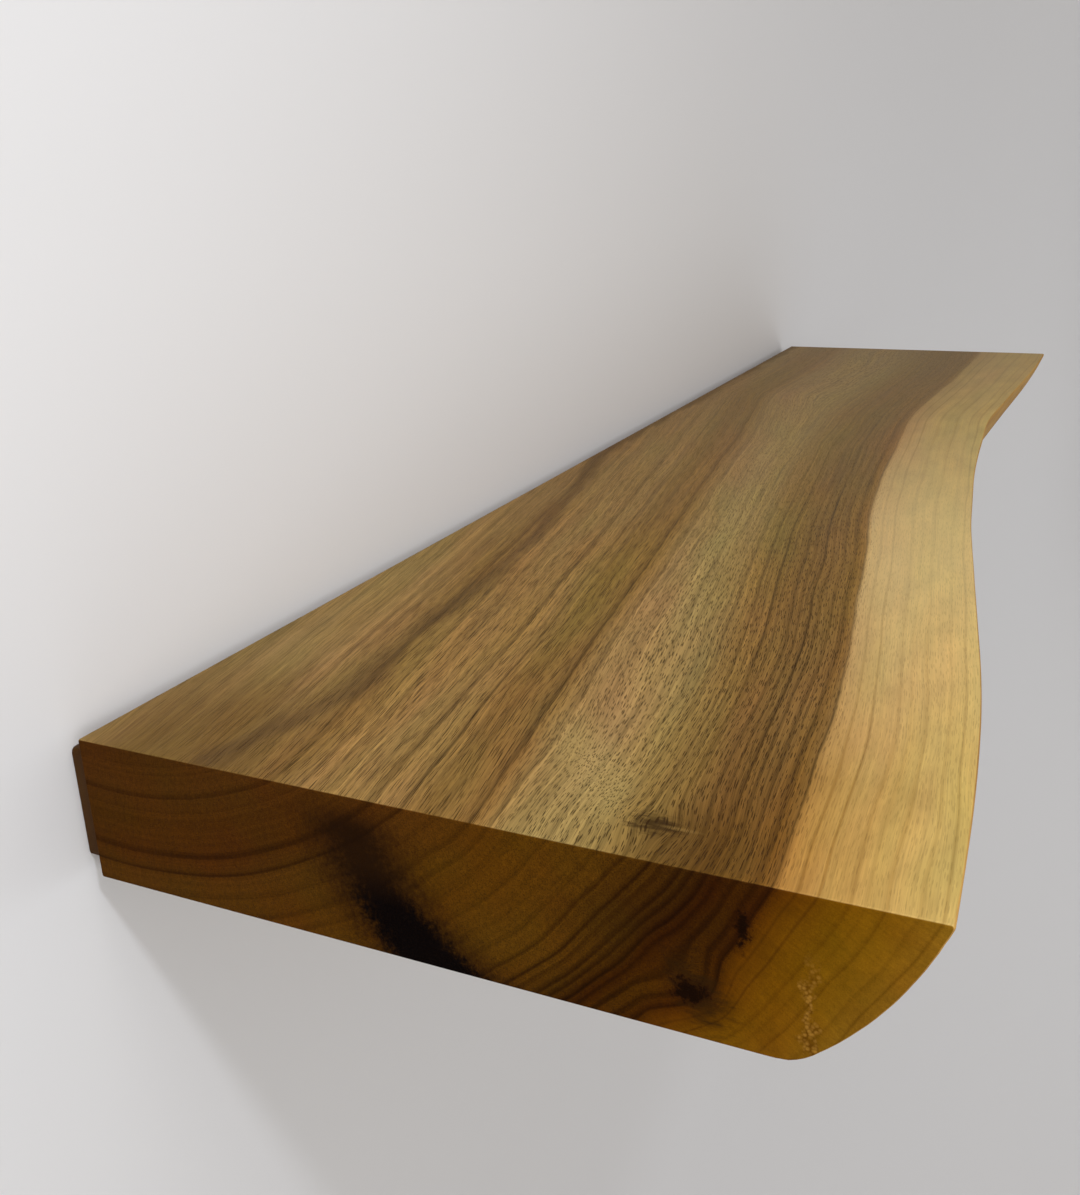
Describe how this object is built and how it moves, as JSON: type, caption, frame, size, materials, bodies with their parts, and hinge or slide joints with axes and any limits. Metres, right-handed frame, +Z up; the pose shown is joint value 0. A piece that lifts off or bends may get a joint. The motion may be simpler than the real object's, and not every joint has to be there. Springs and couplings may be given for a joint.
{
  "type": "floating wall shelf",
  "caption": "Thick live-edge hardwood slab that floats on a hidden steel bracket: a wall plate with welded round rods in blind bores.",
  "frame": {"origin": "centre of the wall plate's back face, on the wall's surface, half way along the shelf and half way up the slab", "axes": "+Z up, +Y into the wall (the shelf stands out towards -Y), +X along the shelf to the right as seen from the room; the deep end is at -X"},
  "size_m": [0.762, 0.3466, 0.0508],
  "materials": {
    "walnut": "oiled, planed top and sawn ends",
    "bracket_paint": "satin dark bronze powder coat",
    "weld_paint": "rippled bead under dark bronze powder coat",
    "zinc_screw": "yellow passivated zinc"
  },
  "bodies": {
    "bracket": {"wall_plate": "bracket_paint", "support_rod_1": "bracket_paint", "support_rod_2": "bracket_paint", "support_rod_3": "bracket_paint", "support_rod_4": "bracket_paint", "weld_1": "weld_paint", "weld_2": "weld_paint", "weld_3": "weld_paint", "weld_4": "weld_paint", "wall_screw_1": "zinc_screw", "wall_screw_2": "zinc_screw", "wall_screw_3": "zinc_screw", "wall_screw_4": "zinc_screw", "wall_screw_5": "zinc_screw", "wall_screw_6": "zinc_screw", "wall_screw_7": "zinc_screw", "wall_screw_8": "zinc_screw"},
    "shelf": {"live_edge_slab": "walnut"}
  },
  "joints": [
    {"name": "shelf_slide", "type": "slide", "parent": "bracket", "child": "shelf", "axis": [0, -1, 0], "range_m": [0, 0.15]}
  ]
}
